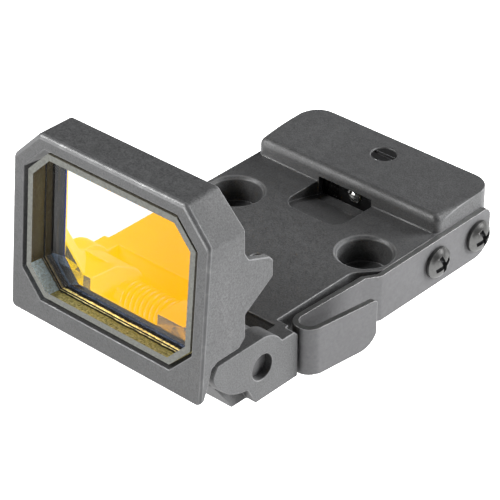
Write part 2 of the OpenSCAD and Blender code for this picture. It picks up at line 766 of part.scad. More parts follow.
module latch_screws() {
    color("#dcdcd8") for (y = latch_screw_y) {
        pan_head(side_x + sheet_t, y, latch_screw_z);
        rod_x(latch_screw_d, side_x - 4.0, side_x + sheet_t + 0.3, y, latch_screw_z);
    }
}

base_body();
bottom_cover();
cover_gasket();
cover_screws();
battery_cap();
cap_oring();
coin_cell();
positive_contact();
negative_contact();
contact_screw();
circuit_board();
driver_chip();
flex_cable();
elevation_screw();
elevation_clip();
elevation_spring();
elevation_carriage();
windage_screw();
windage_clip();
windage_spring();
emitter_holder();
led_emitter();
emitter_window();
hinge_pin();
torsion_spring();
spring_arm();
lens_housing();
front_lens();
rear_lens();
lens_bond();
latch_plate();
latch_arm();
latch_screws();
fold_switch();
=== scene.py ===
"""Red dot finder: the detailed model of a small folding reflex sight.

Each machined, pressed or ground piece has an operator of its own, and its sizes sit in a
property group. Lengths are in metres.
"""
import math

import bpy
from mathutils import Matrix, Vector


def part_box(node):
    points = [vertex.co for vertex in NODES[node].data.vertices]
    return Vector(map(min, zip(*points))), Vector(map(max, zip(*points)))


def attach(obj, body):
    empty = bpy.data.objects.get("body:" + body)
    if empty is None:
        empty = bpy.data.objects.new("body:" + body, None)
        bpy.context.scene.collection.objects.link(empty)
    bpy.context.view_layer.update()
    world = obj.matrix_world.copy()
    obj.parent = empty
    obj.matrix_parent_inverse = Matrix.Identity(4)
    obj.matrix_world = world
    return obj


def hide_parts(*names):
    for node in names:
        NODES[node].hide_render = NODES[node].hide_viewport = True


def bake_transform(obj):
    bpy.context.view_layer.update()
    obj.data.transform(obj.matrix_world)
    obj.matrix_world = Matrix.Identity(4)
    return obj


bl_info = {
    "name": "Red dot finder",
    "version": (1, 0, 0),
    "blender": (4, 5, 0),
    "location": "View3D > Sidebar > Finder",
    "description": "Builds the finished surfaces of a folding red dot finder",
    "category": "Object",
}

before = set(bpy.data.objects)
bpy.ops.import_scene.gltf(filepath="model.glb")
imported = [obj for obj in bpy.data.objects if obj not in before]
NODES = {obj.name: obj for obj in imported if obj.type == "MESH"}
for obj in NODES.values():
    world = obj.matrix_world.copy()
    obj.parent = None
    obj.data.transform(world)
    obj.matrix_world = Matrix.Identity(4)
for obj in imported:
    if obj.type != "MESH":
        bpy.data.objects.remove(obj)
MM = 0.001

# The lens plane: its foot and its depth axis
LEAN = math.radians(5.3)
FOOT = Vector((0.0, -32.8 * MM, 4.1 * MM))
DEPTH = Vector((0.0, math.cos(LEAN), -math.sin(LEAN)))

# Places on the base: the block's top and front, the deck, and the adjuster's seat
BLOCK_TOP = 8.5 * MM
BLOCK_FRONT = 8.3 * MM
DECK = 6.2 * MM
SEAT = Vector((0.0, 15.6 * MM))

# Where the two latch screws stand, along Y and Z
LATCH_SCREWS = ((7.6 * MM, 3.2 * MM), (15.3 * MM, 3.2 * MM))

# Points closer than NEAR to a plane lie on it, and points closer than MERGE become one
NEAR = 0.01 * MM
MERGE = 0.002 * MM


# ---------------------------------------------------------------- settings

def length(name, text, default):
    return bpy.props.FloatProperty(name=name, description=text, default=default, unit="LENGTH",
                                   precision=5)


def angle(name, text, default):
    return bpy.props.FloatProperty(name=name, description=text, default=math.radians(default),
                                   subtype="ANGLE")


def count(name, text, default):
    return bpy.props.IntProperty(name=name, description=text, default=default, min=1)


class RDF_HousingSettings(bpy.types.PropertyGroup):
    front_round: length("Front round", "Round along the outer edge of the front face", 0.00052)
    edge_round: length("Edge round", "Round on the remaining edges", 0.00014)
    corner_cut: length("Corner cut", "Taken off the sum of width and height at a corner", 0.0038)
    side_band: length("Side band", "Width at the sides and foot that counts as outer edge", 0.0009)
    top_band: length("Top band", "Height at the top that counts as outer edge", 0.0001)
    corner_band: length("Corner band", "Width at a cut corner that counts as outer edge", 0.0004)
    collar: length("Collar", "Ring of flat faces kept beside the edges of the front face", 0.00065)


class RDF_LensSettings(bpy.types.PropertyGroup):
    width: length("Width", "Width of the glass", 0.0251)
    low: length("Lower edge", "Height of the lower edge above the foot of the front", 0.00305)
    high: length("Upper edge", "Height of the upper edge above the foot of the front", 0.02095)
    cut: length("Corner cut", "Size of the cut corners", 0.0029)
    recess: length("Recess", "Depth of the glass behind the front face", 0.00025)
    front_t: length("Front thickness", "Thickness of the front glass", 0.0026)
    bond_t: length("Cement", "Thickness of the cement line", 0.00012)
    rear_t: length("Rear thickness", "Thickness of the coated glass", 0.0014)
    ring: length("Ring", "Width of the ground ring round the front", 0.00075)
    # The border these widths leave round the coating is dark, with painted bands of light at the left.
    mask_side: length("Side mask", "Width of the blackened border at each side", 0.00172)
    mask_low: length("Foot mask", "Width of the blackened border at the foot", 0.0005)
    bead: length("Bead", "Width of the cement left round the edge", 0.00012)
    step: length("First step", "Even inset from which the coated face is drawn in", 0.0003)
    # At the right this edge line is a painted highlight.
    fringe: length("Fringe", "Width of the coating's visible edge", 0.00014)


class RDF_BaseSettings(bpy.types.PropertyGroup):
    block_round: length("Block round", "Round along the block's upper front edge", 0.0010)
    seat_round: length("Seat round", "Round at the rim of the adjuster's seat", 0.00022)
    block_reach: length("Block reach", "How far behind the block's front the round goes", 0.0011)
    seat_reach: length("Seat reach", "Distance from the adjuster's axis that holds its rim", 0.0018)
    top_band: length("Top band", "Depth of the block's top that is rounded unguarded", 0.0012)
    foot_fillet: length("Foot fillet", "Fillet where the block meets the deck", 0.00022)
    edge_round: length("Edge round", "Round on the remaining edges", 0.00012)
    cap_round: length("Cap round", "Round on the edges of the battery cap", 0.00008)


class RDF_LatchSettings(bpy.types.PropertyGroup):
    burr: length("Edge round", "Round left by shearing the sheet", 0.00007)
    flex_start: length("Flex start", "Where the sheet starts to flex", -0.0010)
    flex_end: length("Flex end", "Where the sheet has flexed", -0.0040)


class RDF_SpringSettings(bpy.types.PropertyGroup):
    smooth: count("Smoothing", "How often each facet of the wire is halved", 2)


class RDF_ScrewSettings(bpy.types.PropertyGroup):
    edge_round: length("Edge round", "Round on the edges of heads", 0.00006)
    # The sizes below place the dark recess colour, which is painted shade in the hollows of the heads.
    shank: length("Shank", "Distance from a latch screw's tip past which its recess lies", 0.0035)
    recess_reach: length("Recess reach", "Radius that holds the cross recess", 0.00145)
    recess_depth: length("Recess depth", "Depth from the head's top at which the recess is dark", 0.00045)
    slot_lip: length("Slot lip", "Depth below an adjuster's end where its slot turns dark", 0.00015)
    slot_depth: length("Slot depth", "Depth within which an adjuster's slot lies", 0.0011)
    slot_reach: length("Slot reach", "Radius that holds an adjuster's slot floor", 0.0009)


class RDF_InsideSettings(bpy.types.PropertyGroup):
    dome_radius: length("Dome radius", "Radius of the clear dome on the emitter", 0.0008)
    dome_flat: bpy.props.FloatProperty(name="Dome height", description="Height over radius",
                                       default=0.45)
    rim: bpy.props.FloatProperty(name="Dome rim", description="Rim over radius", default=1.12)
    rim_depth: length("Rim depth", "Depth of the rim", 0.00004)


class RDF_StageSettings(bpy.types.PropertyGroup):
    focal: bpy.props.FloatProperty(name="Focal length", description="Camera focal length in mm",
                                   default=172.3)
    place: bpy.props.FloatVectorProperty(name="Camera place", description="Where the camera stands",
                                         default=(0.1561, -0.1811, 0.1567), subtype="TRANSLATION")
    drop: length("Floor drop", "How far the floor lies under the part", 0.00003)
    ambient: bpy.props.FloatProperty(name="Ambient", description="Strength of the surroundings",
                                     default=0.09)
    turn: angle("Azimuth", "Camera azimuth", 42.15)
    tilt: angle("Elevation", "Camera elevation", 32.9)


GROUPS = (
    ("rdf_housing", RDF_HousingSettings),
    ("rdf_lens", RDF_LensSettings),
    ("rdf_base", RDF_BaseSettings),
    ("rdf_latch", RDF_LatchSettings),
    ("rdf_spring", RDF_SpringSettings),
    ("rdf_screw", RDF_ScrewSettings),
    ("rdf_inside", RDF_InsideSettings),
    ("rdf_stage", RDF_StageSettings),
)


# ---------------------------------------------------------------- materials

class Nodes:
    """A small helper that adds nodes and joins them."""

    def __init__(self, name):
        self.mat = bpy.data.materials.new(name)
        self.mat.use_nodes = True
        self.tree = self.mat.node_tree
        self.tree.nodes.clear()
        self.out = self.add("ShaderNodeOutputMaterial")
        self.where = self.add("ShaderNodeTexCoord").outputs["Object"]

    def add(self, kind, **settings):
        node = self.tree.nodes.new(kind)
        for key, value in settings.items():
            setattr(node, key, value)
        return node

    def put(self, socket, value):
        if isinstance(value, bpy.types.NodeSocket):
            self.tree.links.new(value, socket)
        else:
            socket.default_value = value

    def maths(self, operation, a, b=0.0, clamp=False):
        node = self.add("ShaderNodeMath", operation=operation, use_clamp=clamp)
        self.put(node.inputs[0], a)
        self.put(node.inputs[1], b)
        return node.outputs[0]

    def noise(self, scale, detail=2.0, rough=0.5, stretch=None):
        node = self.add("ShaderNodeTexNoise")
        self.put(node.inputs["Scale"], scale)
        self.put(node.inputs["Detail"], detail)
        self.put(node.inputs["Roughness"], rough)
        where = self.where
        if stretch:
            mapping = self.add("ShaderNodeMapping")
            mapping.inputs["Scale"].default_value = stretch
            self.tree.links.new(self.where, mapping.inputs["Vector"])
            where = mapping.outputs["Vector"]
        self.tree.links.new(where, node.inputs["Vector"])
        return node.outputs["Fac"]

    def spread(self, value, low, high, out_low, out_high):
        node = self.add("ShaderNodeMapRange")
        for key, v in (("Value", value), ("From Min", low), ("From Max", high),
                       ("To Min", out_low), ("To Max", out_high)):
            self.put(node.inputs[key], v)
        return node.outputs["Result"]

    def mix(self, factor, a, b):
        node = self.add("ShaderNodeMix", data_type="RGBA")
        self.put(node.inputs["Factor"], factor)
        self.put(node.inputs["A"], a)
        self.put(node.inputs["B"], b)
        return node.outputs["Result"]

    def ramp(self, value, stops):
        node = self.add("ShaderNodeValToRGB")
        marks = node.color_ramp.elements
        while len(marks) < len(stops):
            marks.new(0.5)
        for mark, (place, colour) in zip(marks, stops):
            mark.position = place
            mark.color = colour
        self.put(node.inputs["Fac"], value)
        return node.outputs["Color"]

    def bump(self, height, strength, distance, under=None):
        node = self.add("ShaderNodeBump")
        self.put(node.inputs["Strength"], strength)
        self.put(node.inputs["Distance"], distance)
        self.put(node.inputs["Height"], height)
        if under is not None:
            self.put(node.inputs["Normal"], under)
        return node.outputs["Normal"]

    def along(self, axis, origin):
        """Distance of a point from origin along axis, in metres."""
        node = self.add("ShaderNodeVectorMath", operation="DOT_PRODUCT")
        self.tree.links.new(self.where, node.inputs[0])
        node.inputs[1].default_value = axis
        return self.maths("SUBTRACT", node.outputs["Value"], Vector(axis).dot(origin))

    def shader(self, **inputs):
        node = self.add("ShaderNodeBsdfPrincipled")
        for key, value in inputs.items():
            self.put(node.inputs[key.replace("_", " ")], value)
        return node

    def finish(self, socket):
        self.tree.links.new(socket, self.out.inputs["Surface"])
        return self.mat


def rgb(r, g, b):
    return (r, g, b, 1.0)


def anodised(name="anodised_black", light=1.0, rough=0.5, grain=1.0):
    """Fine blasted grain under black anodising, slightly uneven."""
    n = Nodes(name)
    fine = n.noise(5200.0, 3.0, 0.75)
    mottle = n.noise(1100.0, 3.0, 0.6)
    broad = n.noise(150.0, 2.0, 0.5)
    low, mid, pale = ((v * light, v * light * 1.01, v * light * 1.03) for v in (0.027, 0.080, 0.10))
    colour = n.mix(n.spread(fine, 0.34, 0.66, 0.0, 1.0), rgb(*low), rgb(*mid))
    colour = n.mix(n.spread(mottle, 0.45, 0.70, 0.0, 0.25), colour, rgb(*pale))
    colour = n.mix(n.spread(broad, 0.35, 0.65, 0.0, 0.2), colour, rgb(*low))
    roughness = n.spread(n.maths("ADD", mottle, broad), 0.7, 1.3, rough - 0.06, rough + 0.08)
    coarse = n.bump(mottle, 0.12 * grain, 0.00004)
    normal = n.bump(fine, 0.5 * grain, 0.00003, coarse)
    s = n.shader(Base_Color=colour, Roughness=roughness, Normal=normal, Metallic=0.0)
    s.inputs["Specular IOR Level"].default_value = 0.62
    return n.finish(s.outputs["BSDF"])


def edge_wear_and_highlight(name="anodised_edge_wear_and_highlight"):
    """The same finish on rounded edges, rubbed thin in places, where it turns lighter and partly
    metallic: wear, and a painted highlight along the edges.
    """
    n = Nodes(name)
    patch = n.noise(700.0, 4.0, 0.65)
    fine = n.noise(9000.0, 3.0, 0.7)
    rub_and_sheen = n.spread(patch, 0.50, 0.72, 0.0, 0.65)
    colour = n.mix(rub_and_sheen, rgb(0.085, 0.086, 0.088), rgb(0.19, 0.19, 0.19))
    s = n.shader(Base_Color=colour, Roughness=n.spread(patch, 0.3, 0.7, 0.46, 0.36),
                 Normal=n.bump(fine, 0.2, 0.00002), Metallic=n.maths("MULTIPLY", rub_and_sheen, 0.35))
    s.inputs["Specular IOR Level"].default_value = 0.7
    return n.finish(s.outputs["BSDF"])


def steel(name, colour, low, high, stretch, grain=0.25, metal=1.0):
    """Drawn or rolled metal with a directional grain."""
    n = Nodes(name)
    lines = n.noise(2600.0, 4.0, 0.6, stretch)
    fine = n.noise(12000.0, 2.0, 0.6)
    broad = n.noise(240.0, 2.0, 0.5)
    shade = n.spread(lines, 0.3, 0.7, 0.86, 1.08)
    shade = n.maths("MULTIPLY", shade, n.spread(broad, 0.3, 0.7, 0.94, 1.05))
    tint = n.add("ShaderNodeCombineColor")
    for key, c in zip(("Red", "Green", "Blue"), colour):
        n.put(tint.inputs[key], n.maths("MULTIPLY", shade, c))
    roughness = n.spread(n.maths("ADD", lines, broad), 0.6, 1.4, low, high)
    normal = n.bump(lines, grain, 0.00002, n.bump(fine, grain * 0.6, 0.00001))
    s = n.shader(Base_Color=tint.outputs["Color"], Roughness=roughness, Normal=normal,
                 Metallic=metal)
    return n.finish(s.outputs["BSDF"])


def plastic(name, colour, rough, scale, depth, spec=0.5):
    """A moulded or painted surface with small colour and roughness changes."""
    n = Nodes(name)
    fine = n.noise(scale, 3.0, 0.6)
    broad = n.noise(scale * 0.08, 2.0, 0.5)
    shade = n.maths("MULTIPLY", n.spread(fine, 0.3, 0.7, 0.85, 1.12),
                    n.spread(broad, 0.3, 0.7, 0.93, 1.06))
    tint = n.add("ShaderNodeCombineColor")
    for key, c in zip(("Red", "Green", "Blue"), colour):
        n.put(tint.inputs[key], n.maths("MULTIPLY", shade, c))
    s = n.shader(Base_Color=tint.outputs["Color"],
                 Roughness=n.spread(fine, 0.3, 0.7, rough - 0.05, rough + 0.07),
                 Normal=n.bump(fine, depth, 0.00002))
    s.inputs["Specular IOR Level"].default_value = spec
    return n.finish(s.outputs["BSDF"])


def pane(name="polished_glass"):
    """Thin, nearly clear glass with faint smears."""
    n = Nodes(name)
    smear = n.noise(120.0, 3.0, 0.6, (1.0, 1.0, 3.0))
    dust = n.noise(5200.0, 2.0, 0.5)
    haze = n.spread(smear, 0.45, 0.8, 0.0, 0.012)
    alpha = n.maths("ADD", n.maths("ADD", haze, n.spread(dust, 0.74, 0.82, 0.0, 0.02)), 0.02)
    s = n.shader(Base_Color=rgb(0.06, 0.06, 0.055), Alpha=alpha,
                 Roughness=n.spread(smear, 0.3, 0.7, 0.02, 0.06))
    return n.finish(s.outputs["BSDF"])


def coating(name="amber_coating"):
    """A beam-splitting coat: it mirrors amber and lets the rest of the light through."""
    n = Nodes(name)
    side = n.along((1.0, 0.0, 0.0), Vector((0.0, 0.0, 0.0)))
    smear = n.noise(95.0, 3.0, 0.55, (1.0, 1.0, 2.2))
    fine = n.noise(4200.0, 2.0, 0.5)
    across = n.spread(n.maths("ADD", side, n.spread(smear, 0.3, 0.7, -0.0008, 0.0008)),
                      -0.011, 0.006, 0.0, 1.0)
    amber = n.ramp(across, [(0.0, rgb(0.80, 0.55, 0.01)), (0.42, rgb(0.80, 0.44, 0.0)),
                            (1.0, rgb(0.80, 0.36, 0.0))])
    through = n.ramp(across, [(0.0, rgb(0.02, 0.21, 0.49)), (0.42, rgb(0.02, 0.23, 0.49)),
                              (1.0, rgb(0.02, 0.26, 0.49))])
    mirror = n.add("ShaderNodeBsdfGlossy")
    n.put(mirror.inputs["Color"], amber)
    n.put(mirror.inputs["Roughness"], n.spread(fine, 0.3, 0.7, 0.03, 0.07))
    clear = n.add("ShaderNodeBsdfTransparent")
    path = n.add("ShaderNodeLightPath")
    lit = n.maths("MAXIMUM", path.outputs["Is Shadow Ray"], path.outputs["Is Diffuse Ray"])
    n.put(clear.inputs["Color"], n.mix(lit, through, rgb(0.14, 0.14, 0.13)))
    both = n.add("ShaderNodeAddShader")
    n.tree.links.new(mirror.outputs[0], both.inputs[0])
    n.tree.links.new(clear.outputs[0], both.inputs[1])
    return n.finish(both.outputs[0])


def banded(name, stops, deep, grain, rough=0.5, painted_glow=0.0):
    """An edge of the glass: colours that change with depth behind the front, over a ground grain. In the
    foot and facet stops the bands are painted reflections and refractions of light, and painted_glow
    makes them glow as painted light.
    """
    n = Nodes(name)
    depth = n.along(DEPTH, FOOT)
    streak = n.noise(900.0, 4.0, 0.7, (1.0, 0.35, 0.35))
    fine = n.noise(3600.0, 4.0, 0.75)
    wander = n.spread(streak, 0.3, 0.7, -0.00010, 0.00010)
    place = n.spread(n.maths("ADD", depth, wander), 0.0, deep, 0.0, 1.0)
    colour = n.ramp(place, stops)
    speck = n.spread(fine, 0.3, 0.7, 1.0 - grain, 1.0 + grain)
    shade = n.add("ShaderNodeVectorMath", operation="SCALE")
    n.put(shade.inputs[0], colour)
    n.put(shade.inputs["Scale"], speck)
    s = n.shader(Base_Color=shade.outputs["Vector"],
                 Roughness=n.spread(fine, 0.3, 0.7, rough - 0.1, rough + 0.1),
                 Normal=n.bump(fine, 0.4, 0.00003))
    s.inputs["Specular IOR Level"].default_value = 0.12
    # Emission here is painted light: the band glows though it is no lamp.
    if painted_glow:
        n.put(s.inputs["Emission Color"], shade.outputs["Vector"])
        s.inputs["Emission Strength"].default_value = painted_glow
    return n.finish(s.outputs["BSDF"])


def floor_paper():
    """Pale paper that stays nearly even."""
    n = Nodes("floor_paper")
    tooth = n.noise(600.0, 2.0, 0.5)
    colour = n.mix(tooth, rgb(0.30, 0.30, 0.30), rgb(0.32, 0.32, 0.32))
    s = n.shader(Base_Color=colour, Roughness=0.9)
    s.inputs["Specular IOR Level"].default_value = 0.0
    s.inputs["Emission Color"].default_value = (1.0, 1.0, 1.0, 1.0)
    path = n.add("ShaderNodeLightPath")
    seen = n.maths("MULTIPLY", path.outputs["Is Camera Ray"], 1.9)
    mirrored = n.maths("MULTIPLY", path.outputs["Is Glossy Ray"], 1.02)
    n.put(s.inputs["Emission Strength"], n.maths("ADD", n.maths("ADD", seen, mirrored), 0.20))
    under = n.add("ShaderNodeNewGeometry").outputs["Backfacing"]
    hidden = n.add("ShaderNodeMixShader")
    n.put(hidden.inputs[0], under)
    n.tree.links.new(s.outputs["BSDF"], hidden.inputs[1])
    n.tree.links.new(n.add("ShaderNodeBsdfTransparent").outputs[0], hidden.inputs[2])
    return n.finish(hidden.outputs[0])


MATERIALS = {}

GLASS_LEFT = [(0.0, rgb(0.15, 0.14, 0.105)), (0.30, rgb(0.11, 0.10, 0.075)),
              (0.62, rgb(0.16, 0.15, 0.10)), (0.90, rgb(0.12, 0.11, 0.075)),
              (0.94, rgb(0.004, 0.004, 0.003)), (1.0, rgb(0.004, 0.004, 0.003))]
# Foot of the glass: ground olive and black cement lines, with a bright yellow-white painted reflection of
# light and a blue painted refraction.
FOOT_PAINTED_LIGHT = [(0.0, rgb(0.24, 0.23, 0.15)), (0.24, rgb(0.22, 0.20, 0.09)),
              (0.53, rgb(0.20, 0.18, 0.06)), (0.56, rgb(0.004, 0.004, 0.003)),
              (0.61, rgb(0.006, 0.006, 0.004)), (0.64, rgb(1.0, 0.90, 0.42)),
              (0.76, rgb(1.0, 0.82, 0.30)), (0.79, rgb(0.006, 0.006, 0.006)),
              (0.89, rgb(0.006, 0.006, 0.008)), (0.92, rgb(0.07, 0.09, 0.14)),
              (1.0, rgb(0.03, 0.045, 0.08))]
# Lower-left facet: pale blue and gold painted reflected and refracted light between black lines.
FACET_PAINTED_LIGHT = [(0.0, rgb(0.50, 0.62, 0.74)), (0.55, rgb(0.40, 0.54, 0.70)),
               (0.60, rgb(0.02, 0.02, 0.02)), (0.68, rgb(0.55, 0.50, 0.35)),
               (0.78, rgb(0.01, 0.01, 0.01)), (0.90, rgb(0.02, 0.015, 0.01)),
               (0.95, rgb(0.20, 0.27, 0.38)), (1.0, rgb(0.30, 0.38, 0.50))]


def make_materials():
    MATERIALS.update({
        "anodised": anodised(),
        # Lighter bevelled edges: wear, and a painted highlight.
        "edge": edge_wear_and_highlight(),
        "sheet": steel("latch_satin", (0.175, 0.175, 0.179), 0.5, 0.62, (1.0, 0.8, 1.0), 0.35, 0.8),
        # Sheared edges: bare metal, brightened further as a painted highlight on the rim.
        "sheared": steel("sheared_edge_and_highlight", (0.42, 0.42, 0.42), 0.42, 0.56, (1.0, 0.3, 1.0), 0.2),
        "nickel": steel("nickel_plate", (0.17, 0.17, 0.167), 0.34, 0.48, (1.0, 1.0, 1.0), 0.2),
        # Dark colour for recesses and slots: painted shade.
        "recess": plastic("recess_painted_shade", (0.010, 0.010, 0.011), 0.5, 5200.0, 0.3),
        "wire": steel("spring_wire", (0.19, 0.19, 0.185), 0.36, 0.48, (1.0, 1.0, 1.0), 0.1),
        "oxide": steel("black_oxide", (0.16, 0.16, 0.165), 0.3, 0.42, (1.0, 1.0, 1.0), 0.2),
        "brass": steel("contact_brass", (0.72, 0.52, 0.22), 0.25, 0.4, (1.0, 0.4, 1.0), 0.15),
        "rubber": plastic("seal_rubber", (0.02, 0.02, 0.021), 0.75, 2600.0, 0.3),
        "board": plastic("board_green", (0.03, 0.14, 0.06), 0.35, 2400.0, 0.1),
        "chip": plastic("chip_black", (0.018, 0.018, 0.02), 0.5, 5200.0, 0.2),
        "ribbon": plastic("ribbon_amber", (0.42, 0.19, 0.04), 0.3, 1500.0, 0.1),
        # Parts seen through the emitter window, made dark as painted shade for the cavity.
        "slider": steel("slider_grey", (0.055, 0.055, 0.058), 0.4, 0.55, (0.2, 1.0, 1.0), 0.3),
        "ceramic": plastic("led_ceramic", (0.85, 0.75, 0.45), 0.35, 3000.0, 0.1),
        "cell": steel("cell_steel", (0.78, 0.78, 0.77), 0.25, 0.36, (1.0, 1.0, 1.0), 0.12),
        "cement": plastic("black_cement", (0.004, 0.004, 0.004), 0.5, 3000.0, 0.2, 0.08),
        "bead": steel("clear_dome", (0.85, 0.84, 0.82), 0.03, 0.06, (1.0, 1.0, 1.0), 0.02),
        "pane": pane(),
        "coating": coating(),
        "ring": banded("ground_ring", [(0.0, rgb(0.155, 0.158, 0.145)), (1.0, rgb(0.15, 0.153, 0.135))],
                       0.002, 0.3, 0.45),
        "wall": banded("ground_side", GLASS_LEFT, 0.0044, 0.3, 0.5),
        # The foot and facet bands also glow as painted light.
        "sill": banded("ground_foot_painted_light", FOOT_PAINTED_LIGHT, 0.0044, 0.95, 0.4, 0.3),
        "facet": banded("ground_facet_painted_light", FACET_PAINTED_LIGHT, 0.0044, 0.5, 0.4, 0.12),
        # Dark border with painted bands of light.
        "mask": darkened(),
        "umber": plastic("umber_border", (0.10, 0.05, 0.012), 0.45, 2600.0, 0.2, 0.1),
        # Coating edge line, pink at the right as a painted highlight.
        "fringe": fringe(),
    })


def darkened():
    """The border behind the glass at the left, dark, with painted bands of light seen through the glass:
    black, then olive, then dark blue-grey.
    """
    n = Nodes("dark_border_painted_bands")
    side = n.spread(n.along((1.0, 0.0, 0.0), Vector()), -0.01255, -0.01083, 0.0, 1.0)
    fine = n.noise(2600.0, 3.0, 0.6)
    place = n.maths("ADD", side, n.spread(fine, 0.3, 0.7, -0.03, 0.03))
    colour = n.ramp(place, [(0.0, rgb(0.004, 0.004, 0.003)), (0.24, rgb(0.006, 0.005, 0.003)),
                            (0.34, rgb(0.20, 0.16, 0.05)), (0.46, rgb(0.10, 0.09, 0.04)),
                            (0.54, rgb(0.035, 0.05, 0.08)), (0.86, rgb(0.045, 0.065, 0.10)),
                            (1.0, rgb(0.02, 0.04, 0.16))])
    s = n.shader(Base_Color=colour, Roughness=n.spread(fine, 0.3, 0.7, 0.3, 0.45),
                 Normal=n.bump(fine, 0.2, 0.00002))
    s.inputs["Specular IOR Level"].default_value = 0.12
    return n.finish(s.outputs["BSDF"])


def fringe():
    """The thin bright line round the coating: blue at the left and brown below, and pink at the right, a
    painted highlight of the lit frame edge behind.
    """
    n = Nodes("coating_fringe_and_highlight")
    side = n.spread(n.along((1.0, 0.0, 0.0), Vector()), -0.0105, 0.0105, 0.0, 1.0)
    fine = n.noise(2500.0, 2.0, 0.5)
    place = n.maths("ADD", side, n.spread(fine, 0.3, 0.7, -0.01, 0.01))
    colour = n.ramp(place, [(0.0, rgb(0.01, 0.03, 0.62)), (0.06, rgb(0.02, 0.05, 0.5)),
                            (0.22, rgb(0.32, 0.18, 0.02)), (0.9, rgb(0.40, 0.2, 0.02)),
                            (0.97, rgb(0.95, 0.62, 0.52)), (1.0, rgb(0.95, 0.65, 0.58))])
    s = n.shader(Base_Color=colour, Roughness=n.spread(fine, 0.3, 0.7, 0.35, 0.5))
    return n.finish(s.outputs["BSDF"])


# ---------------------------------------------------------------- modelling helpers

def only(*objects):
    """Leaves these objects alone selected, the first one active, in object mode."""
    if bpy.context.object is not None and bpy.context.object.mode != "OBJECT":
        bpy.ops.object.mode_set(mode="OBJECT")
    bpy.ops.object.select_all(action="DESELECT")
    for o in objects:
        o.select_set(True)
    bpy.context.view_layer.objects.active = objects[0]


def dress(obj, *names):
    obj.data.materials.clear()
    for name in names:
        obj.data.materials.append(MATERIALS[name])
    return obj


def merged_copy(name, *nodes):
    """One merged mesh with the shapes of these CAD nodes and flat faces whole again."""
    made = []
    for node in nodes:
        copy = bpy.data.objects.new(name, NODES[node].data.copy())
        bpy.context.scene.collection.objects.link(copy)
        made.append(copy)
    only(*made)
    if len(made) > 1:
        bpy.ops.object.join()
    obj = bpy.context.view_layer.objects.active
    obj.name = name
    obj.data.name = name
    bpy.ops.object.mode_set(mode="EDIT")
    bpy.ops.mesh.select_all(action="SELECT")
    bpy.ops.mesh.remove_doubles(threshold=MERGE)
    bpy.ops.mesh.dissolve_limited(angle_limit=math.radians(0.6))
    bpy.ops.object.mode_set(mode="OBJECT")
    return obj


def pick_edges(obj, test):
    """Selects the edges whose pair of ends passes test, in edit mode."""
    only(obj)
    bpy.ops.object.mode_set(mode="EDIT")
    bpy.ops.mesh.select_mode(type="EDGE")
    bpy.ops.mesh.select_all(action="DESELECT")
    bpy.ops.object.mode_set(mode="OBJECT")
    verts = obj.data.vertices
    found = 0
    for e in obj.data.edges:
        a, b = (verts[i].co for i in e.vertices)
        e.select = bool(test(a, b))
        found += e.select
    bpy.ops.object.mode_set(mode="EDIT")
    return found


def pick(obj, kind, parts, test):
    """Selects the faces or the vertices that pass test, in edit mode."""
    only(obj)
    bpy.ops.object.mode_set(mode="EDIT")
    bpy.ops.mesh.select_mode(type=kind)
    bpy.ops.mesh.select_all(action="DESELECT")
    bpy.ops.object.mode_set(mode="OBJECT")
    for part in parts:
        part.select = bool(test(part))
    bpy.ops.object.mode_set(mode="EDIT")


def pick_faces(obj, test):
    pick(obj, "FACE", obj.data.polygons, test)


def pick_verts(obj, test):
    pick(obj, "VERT", obj.data.vertices, test)


def round_picked(obj, test, size, segments):
    """Rounds the edges that pass test."""
    if not pick_edges(obj, test):
        raise RuntimeError("no edges to round on " + obj.name)
    bpy.ops.mesh.bevel(offset=size, segments=segments, affect="EDGES", clamp_overlap=False)
    bpy.ops.object.mode_set(mode="OBJECT")


def weigh(obj, fine, broad, wide, limit, free):
    """Weighs each sharp edge for a bevel of broad, and less where the face beside it is narrow."""
    mesh = obj.data
    at = [v.co for v in mesh.vertices]
    beside = {}
    for face in mesh.polygons:
        for key in face.edge_keys:
            beside.setdefault(key, []).append(face)
    sharp = {key for key, faces in beside.items() if len(faces) == 2
             and faces[0].normal.angle(faces[1].normal, 0.0) > math.radians(limit)}
    ends = {i for key in sharp for i in key}
    weights = mesh.attributes.new("bevel_weight_edge", "FLOAT", "EDGE")
    for edge in mesh.edges:
        if edge.key not in sharp:
            continue
        a, b = edge.key
        along = (at[b] - at[a]).normalized()
        size = broad if wide(at[a], at[b]) else fine
        for face in () if free(at[a], at[b]) else beside[edge.key]:
            for other in face.edge_keys:
                shared = set(other) & {a, b}
                if other == edge.key or not shared:
                    continue
                far = (set(other) - shared).pop()
                run = at[far] - at[shared.pop()]
                if abs(run.normalized().dot(along)) < 0.85:
                    size = min(size, run.cross(along).length * (0.42 if far in ends else 0.9))
        weights.data[edge.index].value = size / broad


def soften(obj, size, segments=2, limit=32.0, edge_highlight_slot=-1, broad=None, wide=None, free=None):
    """Rounds every sharp edge, the wide ones by broad, and shades the result smoothly. The bevel faces
    take the material of the given slot, which on most pieces is a lighter edge colour that is partly a
    painted highlight.
    """
    if broad:
        weigh(obj, size, broad, wide, limit, free or (lambda a, b: False))
    size = broad or size
    only(obj)
    mod = obj.modifiers.new("edge", "BEVEL")
    mod.width = size
    mod.segments = segments
    mod.limit_method = "WEIGHT" if broad else "ANGLE"
    mod.angle_limit = math.radians(limit)
    mod.use_clamp_overlap = False
    mod.miter_outer = "MITER_ARC"
    mod.material = edge_highlight_slot
    bpy.ops.object.modifier_apply(modifier=mod.name)
    bpy.ops.object.shade_smooth_by_angle(angle=math.radians(50.0))
    mod = obj.modifiers.new("even", "WEIGHTED_NORMAL")
    mod.mode = "FACE_AREA"
    mod.weight = 100
    mod.keep_sharp = True
    bpy.ops.object.modifier_apply(modifier=mod.name)
    return obj


def paint(obj, slot, test):
    """Gives a material slot to the faces whose centre and normal pass test."""
    for face in obj.data.polygons:
        if test(face.center, face.normal):
            face.material_index = slot


